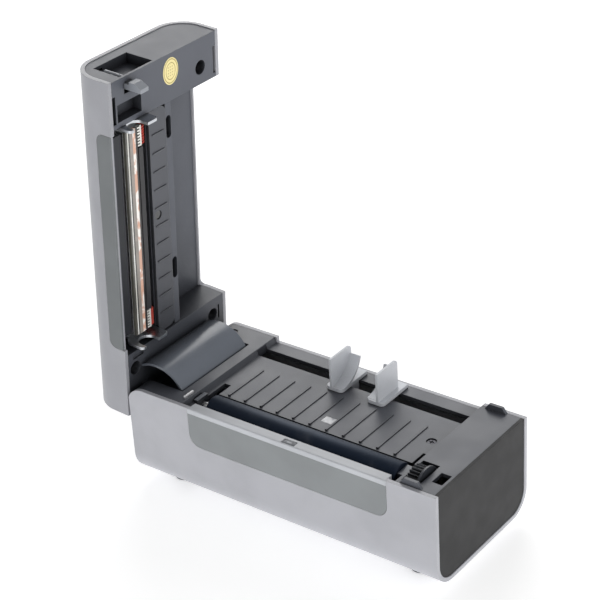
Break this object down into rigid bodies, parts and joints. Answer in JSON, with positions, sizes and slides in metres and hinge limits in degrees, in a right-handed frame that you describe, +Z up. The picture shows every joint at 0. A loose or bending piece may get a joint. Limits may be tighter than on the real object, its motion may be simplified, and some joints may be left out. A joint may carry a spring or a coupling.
{
  "type": "thermal label printer",
  "caption": "Desktop thermal label printer, standing open: hinged lid with sprung print head and latch, rubber platen roller, geared drive and paired sliding media guides.",
  "frame": {"origin": "centre of the open printer's bounding box, in the plane the rubber feet rest on", "axes": "+Z up, +X from the hinge end to the latch end, +Y from the tear bar at the front to the sockets at the back"},
  "size_m": [0.229, 0.0882, 0.242],
  "materials": {
    "silver_shell": "matt light silver-grey moulded plastic",
    "dark_frame": "matt blue-grey moulded plastic",
    "end_face": "matt charcoal plastic",
    "grey_panel": "matt mid-grey plastic",
    "light_grey": "satin light-grey plastic",
    "cover_grey": "satin dark grey plastic",
    "lens": "glossy smoked lens",
    "window": "milky sensor window",
    "black_plastic": "matt black plastic",
    "black_rubber": "smooth black rubber",
    "foot_rubber": "matt black rubber",
    "gear_dark": "dark grey acetal",
    "gear_white": "white acetal",
    "brass": "turned brass",
    "bright_steel": "bright steel",
    "screw_steel": "zinc-plated steel",
    "plate_steel": "galvanised sheet steel",
    "spring_steel": "spring steel",
    "motor_steel": "painted steel laminations",
    "aluminium": "extruded aluminium",
    "ceramic": "glazed ceramic board",
    "connector": "ivory connector plastic",
    "wire": "red wire insulation",
    "board_green": "green circuit board",
    "socket_metal": "plated socket shell",
    "seal": "pale yellow paper seal",
    "light": "green light pipe"
  },
  "bodies": {
    "base": {"base_shell": "silver_shell", "deck": "dark_frame", "end_panel": "end_face", "front_panel": "grey_panel", "tear_bar": "light_grey", "tear_bar_lens": "lens", "gap_sensor_window": "window", "gap_sensor_board": "board_green", "feet": "foot_rubber", "base_screws": "screw_steel", "deck_screws": "screw_steel", "board_screws": "screw_steel", "hinge_pins": "bright_steel", "main_board": "board_green", "dc_inlet": "black_plastic", "usb_socket": "socket_metal", "switch_body": "black_plastic", "stepper_motor": "motor_steel", "gear_plate": "plate_steel", "idler_pin": "bright_steel", "platen_bearings": "light_grey", "earth_spring": "bright_steel", "guide_pinion_screw": "bright_steel"},
    "platen": {"platen_shaft": "bright_steel", "platen_rubber": "black_rubber", "platen_gear": "gear_dark"},
    "idler": {"idler_gear": "gear_white"},
    "motor_rotor": {"motor_shaft": "bright_steel", "motor_pinion": "brass"},
    "guide_left": {"guide_left": "light_grey"},
    "guide_right": {"guide_right": "light_grey"},
    "guide_pinion": {"guide_pinion": "gear_white"},
    "power_rocker": {"power_rocker": "black_plastic"},
    "lid": {"lid_shell": "silver_shell", "lid_frame": "dark_frame", "lid_panel": "grey_panel", "paper_panel": "dark_frame", "sensor_emitter": "lens", "cable_cover": "cover_grey", "seal_sticker": "seal", "lid_screws": "screw_steel", "button_board": "board_green", "status_light": "light", "head_pins": "bright_steel"},
    "feed_button": {"feed_button": "light_grey"},
    "latch": {"latch": "light_grey", "latch_spring": "spring_steel"},
    "print_head": {"head_bracket": "plate_steel", "head_heat_sink": "aluminium", "head_ceramic": "ceramic", "head_cover": "black_plastic", "head_hooks": "bright_steel", "head_connectors": "connector", "head_wires": "wire", "head_springs": "spring_steel"}
  },
  "joints": [
    {"name": "lid_hinge", "type": "hinge", "parent": "base", "child": "lid", "pos_m": [-0.07558, -0.0005, 0.0499], "axis": [0, 1, 0], "range_deg": [0, 86.5]},
    {"name": "platen_spin", "type": "hinge", "parent": "base", "child": "platen", "pos_m": [0.02352, -0.02915, 0.0538], "axis": [1, 0, 0], "continuous": true},
    {"name": "idler_spin", "type": "hinge", "parent": "base", "child": "idler", "pos_m": [0.09452, -0.01115, 0.03948], "axis": [1, 0, 0], "continuous": true},
    {"name": "motor_spin", "type": "hinge", "parent": "base", "child": "motor_rotor", "pos_m": [0.09452, 0.0059, 0.02903], "axis": [1, 0, 0], "continuous": true},
    {"name": "guide_left_slide", "type": "slide", "parent": "base", "child": "guide_left", "axis": [-1, 0, 0], "range_m": [-0.004, 0.04]},
    {"name": "guide_right_slide", "type": "slide", "parent": "base", "child": "guide_right", "axis": [1, 0, 0], "range_m": [-0.004, 0.04]},
    {"name": "guide_pinion_spin", "type": "hinge", "parent": "base", "child": "guide_pinion", "pos_m": [0.02412, 0.01585, 0.0505], "axis": [0, 0, 1], "continuous": true},
    {"name": "power_rocker_tilt", "type": "hinge", "parent": "base", "child": "power_rocker", "pos_m": [0.00322, 0.03915, 0.0302], "axis": [0, 0, -1], "range_deg": [0, 12]},
    {"name": "feed_button_press", "type": "slide", "parent": "lid", "child": "feed_button", "axis": [0.9981, 0, -0.061], "range_m": [0, 0.0008], "stiffness_N_per_m": 500, "springref_m": -0.001},
    {"name": "latch_slide", "type": "slide", "parent": "lid", "child": "latch", "axis": [-0.061, 0, -0.9981], "range_m": [0, 0.0025], "stiffness_N_per_m": 400, "springref_m": -0.003},
    {"name": "head_float", "type": "slide", "parent": "lid", "child": "print_head", "axis": [-0.9981, 0, 0.061], "range_m": [0, 0.0012], "stiffness_N_per_m": 2000, "springref_m": -0.004}
  ],
  "couplings": [
    {"joint": "idler_spin", "follows": "platen_spin", "ratio": -0.64286},
    {"joint": "motor_spin", "follows": "platen_spin", "ratio": 1.5},
    {"joint": "guide_right_slide", "follows": "guide_left_slide", "ratio": 1},
    {"joint": "guide_pinion_spin", "follows": "guide_left_slide", "rad_per_m": 125}
  ]
}
